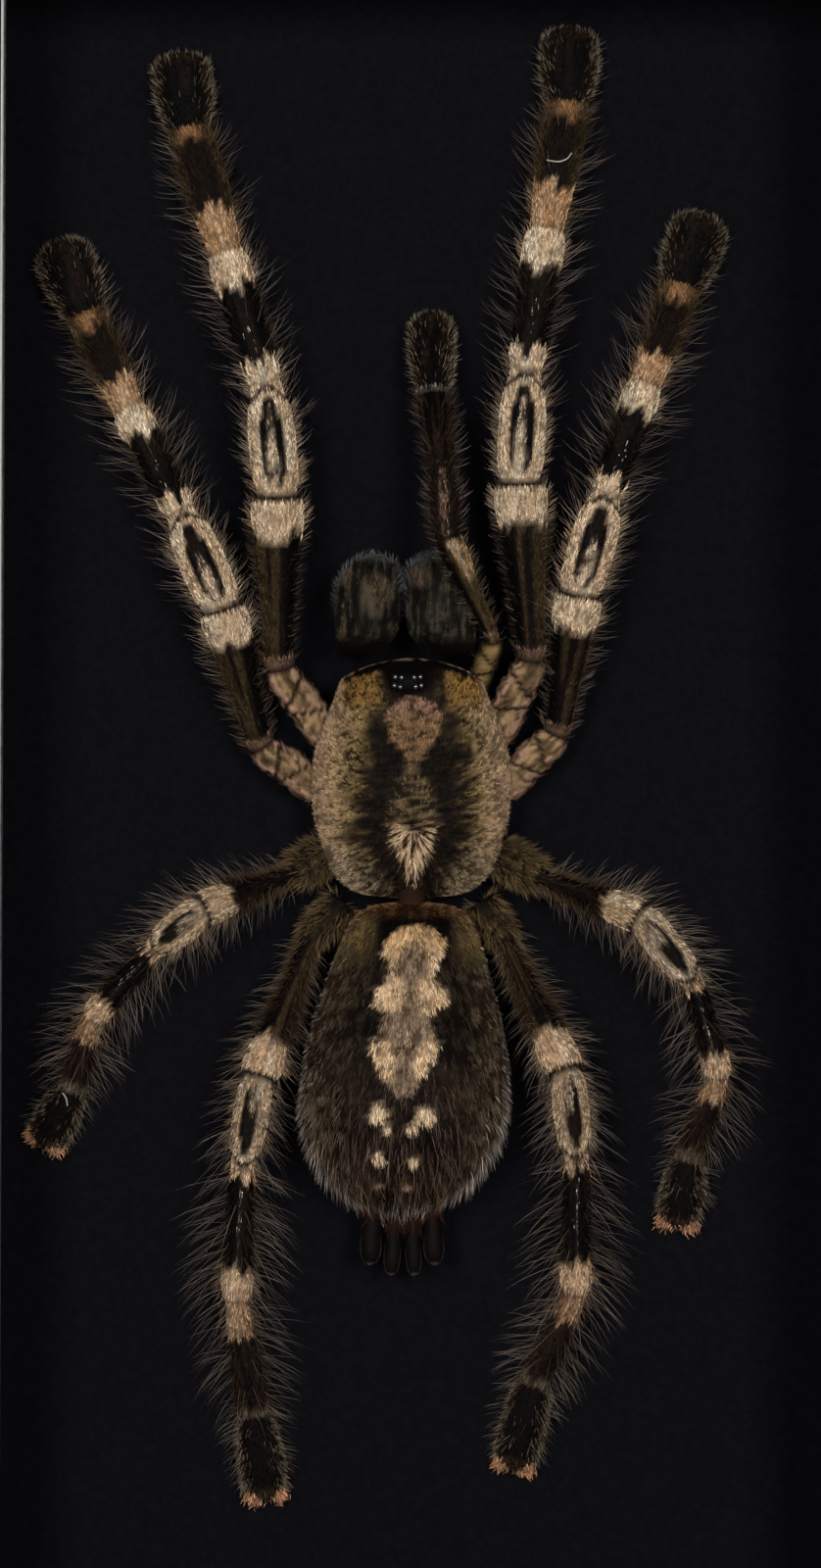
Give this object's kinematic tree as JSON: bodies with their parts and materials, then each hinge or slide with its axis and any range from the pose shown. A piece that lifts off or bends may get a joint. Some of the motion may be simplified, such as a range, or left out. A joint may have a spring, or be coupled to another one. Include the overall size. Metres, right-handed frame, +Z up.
{
  "type": "framed tarantula specimen",
  "caption": "Shadow box frame with an open front, showing a dried ornamental tarantula spread on a black board.",
  "frame": {"origin": "centre of the footprint of the frame, on the surface that its bottom rail stands on", "axes": "+Z up, towards the spider's head; -Y towards the viewer, out of the frame's front; +X to the viewer's right"},
  "size_m": [0.124, 0.034, 0.208],
  "materials": {
    "rail": "satin black stain",
    "edge": "satin",
    "board": "matte black",
    "panel": "pressed hardboard",
    "fixing": "zinc plated",
    "carapace": "short pile",
    "abdomen": "velvety pile",
    "jaw": "short pile",
    "leg": "banded pile with long bristles"
  },
  "bodies": {
    "root": {"rail_top": "rail", "rail_right": "rail", "rail_bottom": "rail", "rail_left": "rail", "silver_edge_top": "edge", "silver_edge_right": "edge", "silver_edge_bottom": "edge", "silver_edge_left": "edge", "mount_board": "board", "back_panel": "panel", "glazing_point_top": "fixing", "glazing_point_bottom": "fixing", "glazing_point_left_upper": "fixing", "glazing_point_left_lower": "fixing", "glazing_point_right_upper": "fixing", "glazing_point_right_lower": "fixing", "sawtooth_hanger": "fixing", "prosoma": "carapace", "abdomen": "abdomen", "chelicera_left": "jaw", "chelicera_right": "jaw", "spinneret_outer_left": "jaw", "spinneret_inner_left": "jaw", "spinneret_inner_right": "jaw", "spinneret_outer_right": "jaw", "leg_1_left": "leg", "leg_1_right": "leg", "leg_2_left": "leg", "leg_2_right": "leg", "leg_3_left": "leg", "leg_3_right": "leg", "leg_4_left": "leg", "leg_4_right": "leg", "pedipalp_right": "leg"}
  },
  "joints": []
}
